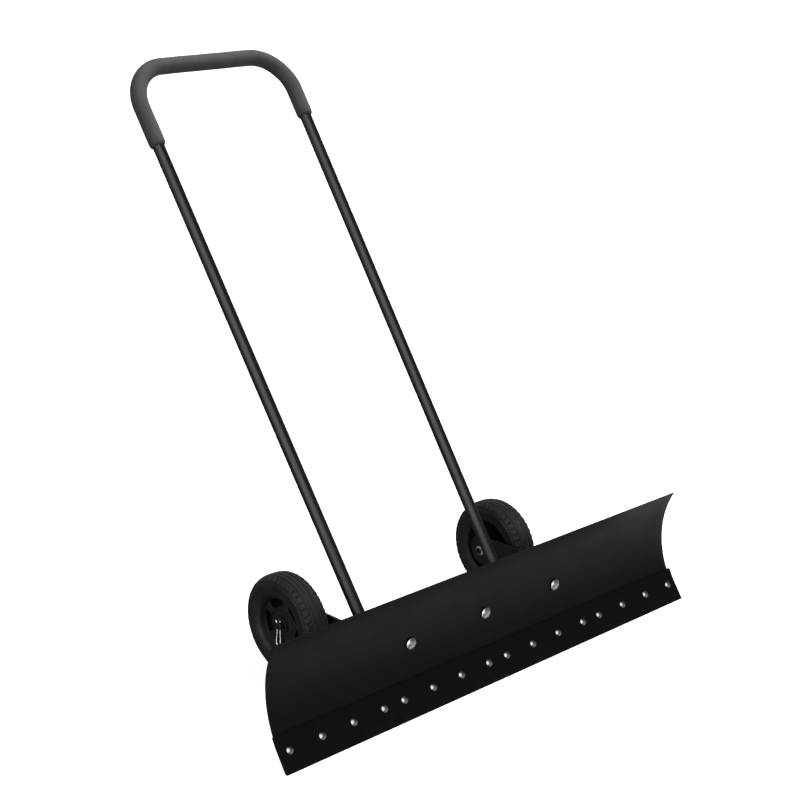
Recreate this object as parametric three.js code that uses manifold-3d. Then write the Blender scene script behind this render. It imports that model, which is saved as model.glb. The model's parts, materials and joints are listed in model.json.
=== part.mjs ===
// Rolling snow pusher: a long curved blade on two wheels, pushed by a tall U-shaped handle.
// Lengths are in millimetres and +Z is up. While it is built, X runs along the blade, Y runs
// backwards from the cutting edge and Z starts at the ground; at the end the whole model is
// moved so that the origin is the middle of the ground under it.

import * as THREE from 'three';
import { mergeVertices } from 'three/addons/utils/BufferGeometryUtils.js';
import Module from 'manifold-3d';

const wasm = await Module();
wasm.setup();

const radians = THREE.MathUtils.degToRad;

// ---- Driving dimensions -------------------------------------------------------------------

const GAP = 0.3;                    // air left between pieces that touch on the real object
const BOLT_PLAY = 0.6;              // a bolt hole's radius over its bolt's

// Blade and its wear strips
const BLADE_LENGTH = 1092;
const BLADE_THICKNESS = 2;
const BLADE_HOLLOW = 190;           // radius of the curved face
const BLADE_SWEEP = radians(65.5);  // angle that the curved face turns through
const FOOT_LEAN = radians(34.5);    // the foot leans back from the vertical
const FOOT_LENGTH = 36;             // straight part of the face, from the ground up
const BLADE_START = 12;             // the sheet starts this far up the face
const STRIP_COUNT = 4;
const STRIP_LENGTH = 275;
const STRIP_THICKNESS = 5;
const STRIP_TOP = 68;               // top of a strip, up the face from the ground
const STRIP_BOLT_ALONG = 36;        // bolt row, up the face from the ground
const STRIP_BOLT_INSET = 25;        // first bolt from the strip's end
const BOLTS_PER_STRIP = 4;

// Rear frame
const BEAM_SIZE = 30;               // square tube
const BEAM_WALL = 2;
const BEAM_HEIGHT = 118;            // middle of the beam, and of its bolts
const BEAM_BOLT_SPACING = 200;
const ARM_INNER = 249.7;            // inner face of a side arm, from the middle of the blade
const ARM_THICKNESS = 6;
const ARM_BOTTOM = 70;
const ARM_TOP = 136;                // at the beam; it falls to the round end at the axle
const CROSSBAR_FORWARD = 28;        // crossbar's middle in front of the handle's centre line

// Handle
const TUBE_RADIUS = 12.7;
const TUBE_WALL = 1.5;
const LEG_LEAN = 0.70;              // backwards for each unit upwards
const LEG_SPREAD = 0.0156;          // sideways for each unit upwards
const LEG_START_X = 185.8;          // centre line of a leg where it would meet the ground
const LEG_START_Y = 135;
const LEG_BOTTOM = 60;              // height of the leg's open end
const BAR_HEIGHT = 1111;            // centre line of the top bar
const BEND_RADIUS = 88;
const GRIP_RADIUS = 18.2;
const GRIP_LEGS = [90, 64];         // the grip's reach down the left and right leg, below the bend
const SOCKET_RADIUS = 16;
const SOCKET_BOTTOM = 56;
const SOCKET_TOP = 114;
const SOCKET_BOLT_HEIGHT = 69;

// Wheels
const WHEEL_RADIUS = 102;
const WHEEL_MIDDLE = 289.5;         // middle of the tyre, from the middle of the blade
const TYRE_WIDTH = 60;
const TYRE_BORE = 60;
const AXLE_Y = 314;
const AXLE_RADIUS = 8;
const AXLE_END = 315;               // outer end of a stub axle
const AXLE_CHAMFER = 1.5;
const COLLAR_RADIUS = 13;           // axle's collar, against the arm
const BOSS_OUTER = 302;             // outer end of the hub's boss
const BOSS_INNER = 260.2;
const BOSS_RADIUS = 20;
const BORE_RADIUS = 11.3;           // hub's bore, which holds the bushes
const RIM_HALF = 21;                // half of the rim's width
const SPOKE_BACK = 14;              // inner side of the spokes, from the middle of the tyre
const FLOOR_HALF = 2;               // half the thickness of the web between the pockets
const POCKET_INNER = 36;            // pockets between the spokes
const POCKET_OUTER = 54;
const SPOKES = 5;
const SPOKE_HALF_ANGLE = radians(11);
const HUB_TURN = radians(10);
const FLANGE_THICKNESS = 1.8;
const FLANGE_RADIUS = 14;
const BUSH_LENGTH = 17;
const BUSH_PLAY = 0.25;
const WASHER_RADIUS = 15;
const WASHER_THICKNESS = 2;
const CLIP_X = 309;                 // plane of the hairpin clip
const WIRE_RADIUS = 1.75;

// Bolts: thread radius, domed head's radius and height, width across flats, and height of the
// nut, which is also that of a hexagonal head
const M8 = { shank: 4, head: 7.5, height: 4.5, flats: 13, nut: 6.5 };
const M10 = { shank: 5, head: 12, height: 6, flats: 17, nut: 8 };
const M12 = { shank: 6, flats: 19, nut: 8 };
const STRIP_BOLT_LENGTH = 20;
const THREAD_PAST_NUT = 3;
const TOOL_REACH = 60;              // half the length of a rod that cuts a bolt hole

// Sides of the round pieces
const BOLT_SIDES = 10;              // bolts and their holes
const SLEEVE_SIDES = 16;
const HUB_SIDES = 30;
const TYRE_SIDES = 36;
const BEND_STEPS = 6;               // steps in each bend of the handle

// ---- Materials ----------------------------------------------------------------------------

function material(color, roughness, metalness) {
  return new THREE.MeshStandardMaterial({ color, roughness, metalness, flatShading: true });
}

const paint = material(0x17181a, 0.45, 0.3);
const rubber = material(0x0c0c0d, 0.8, 0);
const tread = material(0x141414, 0.85, 0);
const plastic = material(0x1b1b1c, 0.6, 0);
const nylon = material(0x2a2a2b, 0.5, 0);
const foam = material(0x2c2c2d, 0.95, 0);
const zinc = material(0xb4b6b8, 0.35, 0.9);
const blackOxide = material(0x1c1c1e, 0.4, 0.8);

// ---- Solids -------------------------------------------------------------------------------

// Position-only geometry with shared vertices, no collapsed faces, and faces pointing out.
function clean(source) {
  const geometry = source.clone();
  geometry.deleteAttribute('normal');
  geometry.deleteAttribute('uv');
  const merged = mergeVertices(geometry, 1e-4);
  const position = merged.getAttribute('position');
  const old = merged.getIndex().array;
  const corner = [new THREE.Vector3(), new THREE.Vector3(), new THREE.Vector3()];
  const index = [];
  let volume = 0;
  for (let i = 0; i < old.length; i += 3) {
    const [a, b, c] = [old[i], old[i + 1], old[i + 2]];
    if (a !== b && b !== c && c !== a) {
      index.push(a, b, c);
      [a, b, c].forEach((vertex, k) => corner[k].fromBufferAttribute(position, vertex));
      volume += corner[0].dot(corner[1].cross(corner[2]));
    }
  }
  merged.setIndex(volume < 0 ? index.reverse() : index);
  return merged;
}

function toSolid(source) {
  const geometry = clean(source);
  const mesh = new wasm.Mesh({
    numProp: 3,
    vertProperties: new Float32Array(geometry.getAttribute('position').array),
    triVerts: new Uint32Array(geometry.getIndex().array),
  });
  return new wasm.Manifold(mesh);
}

function fromSolid(solid) {
  const mesh = solid.getMesh();
  const geometry = new THREE.BufferGeometry();
  geometry.setAttribute('position', new THREE.BufferAttribute(mesh.vertProperties, 3));
  geometry.setIndex(new THREE.BufferAttribute(mesh.triVerts, 1));
  return geometry;
}

function cut(source, tools) {
  return fromSolid(tools.reduce((solid, tool) => solid.subtract(toSolid(tool)), toSolid(source)));
}

function join(first, second) {
  return fromSolid(toSolid(first).add(toSolid(second)));
}

// Outline in the plane of Y and Z, extruded along X from one station to another.
const ALONG_X = new THREE.Matrix4().makeBasis(
  new THREE.Vector3(0, 1, 0),
  new THREE.Vector3(0, 0, 1),
  new THREE.Vector3(1, 0, 0),
);

function extrudeX(shape, from, to) {
  const geometry = new THREE.ExtrudeGeometry(shape, {
    depth: to - from,
    bevelEnabled: false,
    curveSegments: 8,
  });
  return geometry.applyMatrix4(ALONG_X).translate(from, 0, 0);
}

// Round piece about its own Y axis. Each profile point is [radius, distance along the axis].
function turned(profile, segments) {
  return new THREE.LatheGeometry(profile.map(([r, y]) => new THREE.Vector2(r, y)), segments);
}

function ring(inner, outer, from, to, segments) {
  return turned([[inner, from], [outer, from], [outer, to], [inner, to], [inner, from]], segments);
}

function rod(radius, from, to, segments) {
  return turned([[0, from], [radius, from], [radius, to], [0, to]], segments);
}

// Turns a piece's own Y axis towards a direction and puts its origin at a point.
function aim(geometry, origin, direction) {
  const turn = new THREE.Quaternion().setFromUnitVectors(
    new THREE.Vector3(0, 1, 0),
    direction.clone().normalize(),
  );
  return geometry.applyQuaternion(turn).translate(origin.x, origin.y, origin.z);
}

function hexagon(flats) {
  const corner = flats / Math.sqrt(3);
  const shape = new THREE.Shape();
  for (let i = 0; i < 6; i += 1) {
    const angle = radians(60 * i);
    const move = i === 0 ? 'moveTo' : 'lineTo';
    shape[move](corner * Math.cos(angle), corner * Math.sin(angle));
  }
  shape.closePath();
  return shape;
}

// Hexagonal prism from `from` to `from + height` along its own Y axis, with a bore if asked.
function hexPrism(flats, from, height, bore = 0) {
  const shape = hexagon(flats);
  if (bore > 0) {
    const hole = new THREE.Path();
    hole.absarc(0, 0, bore, 0, 2 * Math.PI);
    shape.holes.push(hole);
  }
  const options = { depth: height, bevelEnabled: false, curveSegments: 5 };
  return new THREE.ExtrudeGeometry(shape, options).rotateX(-Math.PI / 2).translate(0, from, 0);
}

// Domed bolt about its own Y axis: the head stands above 0 and the shank runs below it.
function domedBolt({ shank, head, height }, length) {
  const profile = [
    [0, height],
    [0.6 * head, 0.78 * height],
    [head, 0.25 * height],
    [head, 0],
    [shank, 0],
    [shank, -length],
    [0, -length],
  ];
  return turned(profile, BOLT_SIDES);
}

function hexBolt({ shank, flats, nut }, length) {
  return join(hexPrism(flats, 0, nut), rod(shank, -length, nut / 2, BOLT_SIDES));
}

function boltHole({ shank }, origin, direction) {
  return aim(rod(shank + BOLT_PLAY, -TOOL_REACH, TOOL_REACH, BOLT_SIDES), origin, direction);
}

// ---- Assembly -----------------------------------------------------------------------------

const model = new THREE.Group();

function add(name, geometry, finish) {
  const mesh = new THREE.Mesh(clean(geometry), finish);
  mesh.geometry.computeVertexNormals();
  mesh.name = name;
  model.add(mesh);
}

const SIDES = [{ name: 'left', sign: -1 }, { name: 'right', sign: 1 }];

// ---- Blade --------------------------------------------------------------------------------

const FACE_Y = (STRIP_THICKNESS + GAP) / Math.cos(FOOT_LEAN);   // blade's face at the ground
const BLADE_END = FOOT_LENGTH + BLADE_HOLLOW * BLADE_SWEEP;     // length of the face
const FRONT = new THREE.Vector3(0, -Math.cos(FOOT_LEAN), Math.sin(FOOT_LEAN));

// Point of the section, `along` up the blade's face from the ground and `front` before it.
function facePoint(along, front) {
  const straight = Math.min(along, FOOT_LENGTH);
  const lean = FOOT_LEAN - Math.max(along - FOOT_LENGTH, 0) / BLADE_HOLLOW;
  return new THREE.Vector2(
    FACE_Y + straight * Math.sin(FOOT_LEAN)
      + BLADE_HOLLOW * (Math.cos(lean) - Math.cos(FOOT_LEAN)) - front * Math.cos(lean),
    straight * Math.cos(FOOT_LEAN)
      + BLADE_HOLLOW * (Math.sin(FOOT_LEAN) - Math.sin(lean)) + front * Math.sin(lean),
  );
}

// Distance up the face at which the curved face reaches a height.
function alongAtHeight(height) {
  const sine = Math.sin(FOOT_LEAN) - (height - FOOT_LENGTH * Math.cos(FOOT_LEAN)) / BLADE_HOLLOW;
  return FOOT_LENGTH + BLADE_HOLLOW * (FOOT_LEAN - Math.asin(sine));
}

function faceLine(start, end, front, steps) {
  const points = [facePoint(start, front)];
  for (let i = 0; i <= steps; i += 1) {
    points.push(facePoint(FOOT_LENGTH + ((end - FOOT_LENGTH) * i) / steps, front));
  }
  return points;
}

// Sheet between two distances in front of the face. Its lower end is level with the ground
// when it starts there, and square to the face otherwise.
function sheetShape(start, end, back, front, steps) {
  const foot = (offset) => (start > 0 ? start : -offset * Math.tan(FOOT_LEAN));
  const outline = faceLine(foot(back), end, back, steps);
  outline.push(...faceLine(foot(front), end, front, steps).reverse());
  return new THREE.Shape(outline);
}

function stripBoltStations() {
  const pitch = (STRIP_LENGTH - 2 * STRIP_BOLT_INSET) / (BOLTS_PER_STRIP - 1);
  const stations = [];
  for (let strip = 0; strip < STRIP_COUNT; strip += 1) {
    const start = (strip - STRIP_COUNT / 2) * STRIP_LENGTH + STRIP_BOLT_INSET;
    for (let i = 0; i < BOLTS_PER_STRIP; i += 1) {
      stations.push(start + i * pitch);
    }
  }
  return stations;
}

function onFace(x, along, front) {
  const point = facePoint(along, front);
  return new THREE.Vector3(x, point.x, point.y);
}

function stripHole(x) {
  return boltHole(M8, onFace(x, STRIP_BOLT_ALONG, 0), FRONT);
}

const BEAM_FRONT = facePoint(FOOT_LENGTH + BLADE_HOLLOW * FOOT_LEAN, -BLADE_THICKNESS).x + GAP;
const BEAM_BOLTS = [
  { name: 'left', x: -BEAM_BOLT_SPACING },
  { name: 'centre', x: 0 },
  { name: 'right', x: BEAM_BOLT_SPACING },
];
const HEAD_SEAT = facePoint(alongAtHeight(BEAM_HEIGHT - M10.head), 0).x - GAP;
const BACKWARDS = new THREE.Vector3(0, 1, 0);

function beamHole(x) {
  return boltHole(M10, new THREE.Vector3(x, BEAM_FRONT, BEAM_HEIGHT), BACKWARDS);
}

function addBlade() {
  const shape = sheetShape(BLADE_START, BLADE_END, -BLADE_THICKNESS, 0, 14);
  const sheet = extrudeX(shape, -BLADE_LENGTH / 2, BLADE_LENGTH / 2);
  const holes = stripBoltStations().map(stripHole);
  holes.push(...BEAM_BOLTS.map(({ x }) => beamHole(x)));
  add('moldboard', cut(sheet, holes), paint);
}

function addStrips() {
  const shape = sheetShape(0, STRIP_TOP, GAP, GAP + STRIP_THICKNESS, 3);
  const stations = stripBoltStations();
  for (let i = 0; i < STRIP_COUNT; i += 1) {
    const start = (i - STRIP_COUNT / 2) * STRIP_LENGTH;
    const bar = extrudeX(shape, start + GAP, start + STRIP_LENGTH - GAP);
    const own = stations.slice(i * BOLTS_PER_STRIP, (i + 1) * BOLTS_PER_STRIP);
    add(`wear_strip_${i + 1}`, cut(bar, own.map(stripHole)), rubber);
  }
  stations.forEach((x, i) => {
    const seat = onFace(x, STRIP_BOLT_ALONG, 2 * GAP + STRIP_THICKNESS);
    const bolt = aim(domedBolt(M8, STRIP_BOLT_LENGTH), seat, FRONT);
    add(`strip_bolt_${String(i + 1).padStart(2, '0')}`, bolt, zinc);
  });
}

// ---- Rear frame ---------------------------------------------------------------------------

const SOCKET_MIDDLE = (SOCKET_BOTTOM + SOCKET_TOP) / 2;

function squareTube(y, z) {
  const half = BEAM_SIZE / 2;
  const square = (size) => [
    new THREE.Vector2(y - size, z - size),
    new THREE.Vector2(y + size, z - size),
    new THREE.Vector2(y + size, z + size),
    new THREE.Vector2(y - size, z + size),
  ];
  const shape = new THREE.Shape(square(half));
  shape.holes.push(new THREE.Path(square(half - BEAM_WALL)));
  return extrudeX(shape, -ARM_INNER + GAP, ARM_INNER - GAP);
}

// Point on a leg's centre line at a height.
function legPoint(sign, height) {
  return new THREE.Vector3(
    sign * (LEG_START_X + LEG_SPREAD * height),
    LEG_START_Y + LEG_LEAN * height,
    height,
  );
}

function legDirection(sign) {
  return new THREE.Vector3(sign * LEG_SPREAD, LEG_LEAN, 1).normalize();
}

// Round hollow that takes a socket.
function socketNotch(sign) {
  const tool = rod(SOCKET_RADIUS + 2 * GAP, -TOOL_REACH, TOOL_REACH, SLEEVE_SIDES);
  return aim(tool, legPoint(sign, SOCKET_MIDDLE), legDirection(sign));
}

function addFrame() {
  const beam = squareTube(BEAM_FRONT + BEAM_SIZE / 2, BEAM_HEIGHT);
  add('mounting_beam', cut(beam, BEAM_BOLTS.map(({ x }) => beamHole(x))), paint);

  const nutSeat = BEAM_FRONT + BEAM_SIZE + GAP;
  BEAM_BOLTS.forEach(({ name, x }) => {
    const length = nutSeat + M10.nut + THREAD_PAST_NUT - HEAD_SEAT;
    const seat = new THREE.Vector3(x, HEAD_SEAT, BEAM_HEIGHT);
    add(`beam_bolt_${name}`, aim(domedBolt(M10, length), seat, BACKWARDS.clone().negate()), zinc);
    const nut = hexPrism(M10.flats, 0, M10.nut, M10.shank + BOLT_PLAY);
    add(`beam_nut_${name}`, aim(nut, new THREE.Vector3(x, nutSeat, BEAM_HEIGHT), BACKWARDS), zinc);
  });

  const lean = Math.atan(LEG_LEAN);
  const middle = legPoint(1, SOCKET_MIDDLE);
  const crossbar = squareTube(
    middle.y - CROSSBAR_FORWARD * Math.cos(lean),
    middle.z + CROSSBAR_FORWARD * Math.sin(lean),
  );
  add('crossbar', cut(crossbar, SIDES.map(({ sign }) => socketNotch(sign))), paint);

  const plate = new THREE.Shape();
  plate.moveTo(BEAM_FRONT, ARM_BOTTOM);
  plate.lineTo(AXLE_Y, ARM_BOTTOM);
  plate.absarc(AXLE_Y, WHEEL_RADIUS, WHEEL_RADIUS - ARM_BOTTOM, -Math.PI / 2, Math.PI / 2);
  plate.lineTo(BEAM_FRONT, ARM_TOP);
  plate.closePath();
  const axleHole = new THREE.Path();
  axleHole.absarc(AXLE_Y, WHEEL_RADIUS, M12.shank + BOLT_PLAY, 0, 2 * Math.PI);
  plate.holes.push(axleHole);
  SIDES.forEach(({ name, sign }) => {
    const [from, to] = [sign * ARM_INNER, sign * (ARM_INNER + ARM_THICKNESS)].sort((a, b) => a - b);
    add(`${name}_arm`, extrudeX(plate, from, to), paint);
  });
}

// ---- Handle -------------------------------------------------------------------------------

// Centre line of the U handle, over the top bar between two points on its legs. They are
// given by their distances down the left and the right leg from its bend.
// The curve's parameter gives each straight one step and each bend BEND_STEPS steps.
const U_STEPS = 2 * BEND_STEPS + 3;
const LEG_UP = legDirection(-1);
const ACROSS = new THREE.Vector3(1, 0, 0);
const BEND_TURN = LEG_UP.angleTo(ACROSS);
const BEND_START = legPoint(-1, BAR_HEIGHT)
  .addScaledVector(LEG_UP, -BEND_RADIUS * Math.tan(BEND_TURN / 2));

class HandlePath extends THREE.Curve {
  constructor(legs) {
    super();
    this.legs = legs;
    this.inward = ACROSS.clone().addScaledVector(LEG_UP, -ACROSS.dot(LEG_UP)).normalize();
    this.centre = BEND_START.clone().addScaledVector(this.inward, BEND_RADIUS);
  }

  // Position and direction on the left half, from the end of a leg (0) to the top bar.
  half(step, leg) {
    if (step <= 1) {
      return [BEND_START.clone().addScaledVector(LEG_UP, leg * (step - 1)), LEG_UP.clone()];
    }
    const angle = (BEND_TURN * Math.min(step - 1, BEND_STEPS)) / BEND_STEPS;
    const point = this.centre.clone();
    point.addScaledVector(this.inward, -BEND_RADIUS * Math.cos(angle));
    point.addScaledVector(LEG_UP, BEND_RADIUS * Math.sin(angle));
    const direction = LEG_UP.clone().multiplyScalar(Math.cos(angle));
    direction.addScaledVector(this.inward, Math.sin(angle));
    point.x *= 1 - 2 * Math.max(step - BEND_STEPS - 1, 0);
    return [point, direction];
  }

  at(t) {
    const step = t * U_STEPS;
    if (step <= U_STEPS / 2) {
      return this.half(step, this.legs[0]);
    }
    const [point, direction] = this.half(U_STEPS - step, this.legs[1]);
    point.x = -point.x;
    direction.y = -direction.y;
    direction.z = -direction.z;
    return [point, direction];
  }

  getPoint(t) {
    return this.at(t)[0];
  }

  getPointAt(t) {
    return this.at(t)[0];
  }

  getTangentAt(t) {
    return this.at(t)[1];
  }
}

function sweep(outer, inner, path, steps) {
  const shape = new THREE.Shape();
  shape.absarc(0, 0, outer, 0, 2 * Math.PI);
  if (inner > 0) {
    const hole = new THREE.Path();
    hole.absarc(0, 0, inner, 0, 2 * Math.PI);
    shape.holes.push(hole);
  }
  return new THREE.ExtrudeGeometry(shape, {
    steps,
    extrudePath: path,
    bevelEnabled: false,
    curveSegments: inner > 0 ? 8 : 3,
  });
}

function addHandle() {
  const boltPoint = (sign) => legPoint(sign, SOCKET_BOLT_HEIGHT);
  const hole = (sign) => boltHole(M8, boltPoint(sign), ACROSS);

  const leg = BEND_START.distanceTo(legPoint(-1, LEG_BOTTOM));
  const tube = sweep(TUBE_RADIUS, TUBE_RADIUS - TUBE_WALL, new HandlePath([leg, leg]), U_STEPS);
  add('handle_tube', cut(tube, SIDES.map(({ sign }) => hole(sign))), paint);
  add('handle_grip', sweep(GRIP_RADIUS, TUBE_RADIUS + GAP, new HandlePath(GRIP_LEGS), U_STEPS), foam);

  SIDES.forEach(({ name, sign }) => {
    const reach = (SOCKET_TOP - SOCKET_BOTTOM) / 2 / legDirection(sign).z;
    const sleeve = ring(TUBE_RADIUS + GAP, SOCKET_RADIUS, -reach, reach, SLEEVE_SIDES);
    aim(sleeve, legPoint(sign, SOCKET_MIDDLE), legDirection(sign));
    add(`${name}_socket`, cut(sleeve, [hole(sign)]), paint);

    const outwards = ACROSS.clone().multiplyScalar(sign);
    const seat = boltPoint(sign).addScaledVector(outwards, SOCKET_RADIUS + GAP);
    const length = 2 * (SOCKET_RADIUS + GAP) + M8.nut + THREAD_PAST_NUT;
    add(`${name}_socket_bolt`, aim(hexBolt(M8, length), seat, outwards), zinc);
    const nut = hexPrism(M8.flats, 0, M8.nut, M8.shank + BOLT_PLAY);
    const nutSeat = boltPoint(sign).addScaledVector(outwards, -SOCKET_RADIUS - GAP);
    add(`${name}_socket_nut`, aim(nut, nutSeat, outwards.clone().negate()), zinc);
  });
}

// ---- Wheels -------------------------------------------------------------------------------

// Pieces on an axle are drawn about their own Y axis, with Y the distance from the middle of
// the blade, and then laid along X on one side.
function onAxle(geometry, sign) {
  const axis = new THREE.Vector3(sign, 0, 0);
  return aim(geometry, new THREE.Vector3(0, AXLE_Y, WHEEL_RADIUS), axis);
}

function tyre() {
  const half = TYRE_WIDTH / 2;
  const section = [
    [TYRE_BORE, -half + 8],
    [TYRE_BORE + 8, -half + 2.5],
    [0.8 * WHEEL_RADIUS, -half],
    [0.91 * WHEEL_RADIUS, -half + 3],
    [0.97 * WHEEL_RADIUS, -half + 8],
    [WHEEL_RADIUS, -half + 17],
  ];
  const mirrored = section.map(([r, y]) => [r, -y]).reverse();
  const profile = [...section, ...mirrored, section[0]];
  return turned(profile, TYRE_SIDES).translate(0, WHEEL_MIDDLE, 0);
}

// Tool for one of the hub's pockets, from one distance across the wheel to another.
function pocketTool(middle, from, to) {
  const half = Math.PI / SPOKES - SPOKE_HALF_ANGLE;
  const shape = new THREE.Shape();
  shape.absarc(0, 0, POCKET_OUTER, middle - half, middle + half, false);
  shape.absarc(0, 0, POCKET_INNER, middle + half, middle - half, true);
  shape.closePath();
  const options = { depth: to - from, bevelEnabled: false, curveSegments: 4 };
  return new THREE.ExtrudeGeometry(shape, options).rotateX(-Math.PI / 2).translate(0, from, 0);
}

// Hub with five spokes: a closed web in its middle and deep pockets on both sides of it.
function hub() {
  const rim = TYRE_BORE - GAP;
  const front = BOSS_OUTER - WHEEL_MIDDLE;
  const boss = BOSS_INNER - WHEEL_MIDDLE;
  const profile = [
    [BORE_RADIUS, boss],
    [BOSS_RADIUS, boss],
    [BOSS_RADIUS, -SPOKE_BACK],
    [POCKET_OUTER + 1, -SPOKE_BACK],
    [POCKET_OUTER + 3, -RIM_HALF],
    [rim, -RIM_HALF],
    [rim, RIM_HALF],
    [POCKET_OUTER + 3, RIM_HALF],
    [POCKET_OUTER + 1, front],
    [BORE_RADIUS, front],
    [BORE_RADIUS, boss],
  ];
  const pockets = [];
  for (let i = 0; i < SPOKES; i += 1) {
    const middle = HUB_TURN + (2 * Math.PI * i) / SPOKES;
    pockets.push(pocketTool(middle, FLOOR_HALF, WHEEL_RADIUS));
    pockets.push(pocketTool(middle, -WHEEL_RADIUS, -FLOOR_HALF));
  }
  return cut(turned(profile, HUB_SIDES), pockets).translate(0, WHEEL_MIDDLE, 0);
}

// Flanged bush: the flange bears on the end of the boss and the sleeve goes into it.
function bush(flangeSeat, inwards) {
  const face = -inwards * (FLANGE_THICKNESS + GAP);
  const seat = -inwards * GAP;
  const tip = inwards * BUSH_LENGTH;
  const bore = AXLE_RADIUS + BUSH_PLAY;
  const outer = BORE_RADIUS - BUSH_PLAY;
  const profile = [
    [bore, face],
    [FLANGE_RADIUS, face],
    [FLANGE_RADIUS, seat],
    [outer, seat],
    [outer, tip],
    [bore, tip],
    [bore, face],
  ];
  return turned(profile, SLEEVE_SIDES).translate(0, flangeSeat, 0);
}

const BUSH_END = FLANGE_THICKNESS + 2 * GAP;    // flange with its gaps, beyond the boss
const COLLAR_OUTER = BOSS_INNER - BUSH_END;
const COLLAR_INNER = ARM_INNER + ARM_THICKNESS + GAP;
const AXLE_START = ARM_INNER - GAP - M12.nut - THREAD_PAST_NUT;

// Stub axle: a thread through the arm, a collar against it, and the spindle with a cross hole.
function axle() {
  const profile = [
    [0, AXLE_START],
    [M12.shank, AXLE_START],
    [M12.shank, COLLAR_INNER],
    [COLLAR_RADIUS, COLLAR_INNER],
    [COLLAR_RADIUS, COLLAR_OUTER],
    [AXLE_RADIUS, COLLAR_OUTER],
    [AXLE_RADIUS, AXLE_END - AXLE_CHAMFER],
    [AXLE_RADIUS - AXLE_CHAMFER, AXLE_END],
    [0, AXLE_END],
  ];
  const wireHole = rod(WIRE_RADIUS + BOLT_PLAY, -TOOL_REACH, TOOL_REACH, BOLT_SIDES);
  aim(wireHole, new THREE.Vector3(0, CLIP_X, 0), new THREE.Vector3(0, 0, 1));
  return cut(turned(profile, SLEEVE_SIDES), [wireHole]);
}

// Hairpin clip: its straight leg hangs down through the cross hole, and after the loop its
// other leg comes up and grips the outside of the spindle.
function clip(sign) {
  const side = AXLE_RADIUS + WIRE_RADIUS + GAP;
  const points = [
    [0, 9.6], [0, 0], [0, -17], [0, -35], [1.8, -42.3], [6.8, -45], [11.6, -41.5],
    [11.8, -32], [9, -16], [side, -3], [side, 3], [13, 8],
  ];
  const path = new THREE.CatmullRomCurve3(points.map(([y, z]) => new THREE.Vector3(
    sign * CLIP_X,
    AXLE_Y + y,
    WHEEL_RADIUS + z,
  )));
  return sweep(WIRE_RADIUS, 0, path, 24);
}

function addWheels() {
  SIDES.forEach(({ name, sign }) => {
    add(`${name}_tyre`, onAxle(tyre(), sign), tread);
    add(`${name}_hub`, onAxle(hub(), sign), plastic);
    add(`${name}_inner_bush`, onAxle(bush(BOSS_INNER, 1), sign), nylon);
    add(`${name}_outer_bush`, onAxle(bush(BOSS_OUTER, -1), sign), nylon);
    add(`${name}_axle`, onAxle(axle(), sign), blackOxide);
    const nutSeat = ARM_INNER - GAP - M12.nut;
    const nut = hexPrism(M12.flats, nutSeat, M12.nut, M12.shank + BOLT_PLAY);
    add(`${name}_axle_nut`, onAxle(nut, sign), zinc);
    const seat = BOSS_OUTER + BUSH_END;
    const washer = ring(AXLE_RADIUS + GAP, WASHER_RADIUS, seat, seat + WASHER_THICKNESS, SLEEVE_SIDES);
    add(`${name}_washer`, onAxle(washer, sign), blackOxide);
    add(`${name}_clip`, clip(sign), zinc);
  });
}

addBlade();
addStrips();
addFrame();
addHandle();
addWheels();

// The origin goes to the middle of the ground under the whole object.
const bounds = new THREE.Box3().setFromObject(model);
const middle = bounds.getCenter(new THREE.Vector3());
model.position.set(-middle.x, -middle.y, -bounds.min.z);
model.updateMatrixWorld(true);

export default model;
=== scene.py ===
import json
from math import asin, atan2, cos, exp, hypot, pi, radians, sin, sqrt, tan

import bmesh
import bpy
from mathutils import Matrix, Vector


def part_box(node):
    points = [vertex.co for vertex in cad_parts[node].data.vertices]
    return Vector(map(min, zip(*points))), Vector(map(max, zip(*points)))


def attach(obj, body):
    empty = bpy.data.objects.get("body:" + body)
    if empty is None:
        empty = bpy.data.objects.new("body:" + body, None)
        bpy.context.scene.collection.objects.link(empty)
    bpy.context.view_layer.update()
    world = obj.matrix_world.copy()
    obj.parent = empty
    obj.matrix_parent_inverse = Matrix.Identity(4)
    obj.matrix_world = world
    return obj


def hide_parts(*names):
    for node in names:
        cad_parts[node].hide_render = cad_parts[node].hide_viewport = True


# Looks of a rolling snow pusher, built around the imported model. Lengths are in metres.
# X runs along the blade, Y backwards from it and Z up.

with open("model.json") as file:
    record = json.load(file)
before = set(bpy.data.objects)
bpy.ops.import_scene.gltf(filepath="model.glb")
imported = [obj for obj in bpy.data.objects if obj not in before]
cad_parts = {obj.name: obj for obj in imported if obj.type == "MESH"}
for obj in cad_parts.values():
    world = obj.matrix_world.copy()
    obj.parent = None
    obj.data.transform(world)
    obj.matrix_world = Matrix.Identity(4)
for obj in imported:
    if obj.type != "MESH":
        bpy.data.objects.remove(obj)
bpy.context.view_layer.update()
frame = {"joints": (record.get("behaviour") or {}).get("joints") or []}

# ---- Dimensions ----

GAP = 0.0003

# Blade: a straight foot that leans back, then a curved face
FOOT_LEAN = radians(34.5)
FOOT_LENGTH = 0.036
BLADE_HOLLOW = 0.190
BLADE_SWEEP = radians(65.5)
BLADE_START = 0.012
BLADE_THICKNESS = 0.002
STRIP_THICKNESS = 0.005
STRIP_TOP = 0.068
STRIP_BOLT_ALONG = 0.036
STRIP_COUNT = 4
BOLTS_PER_STRIP = 4

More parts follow.
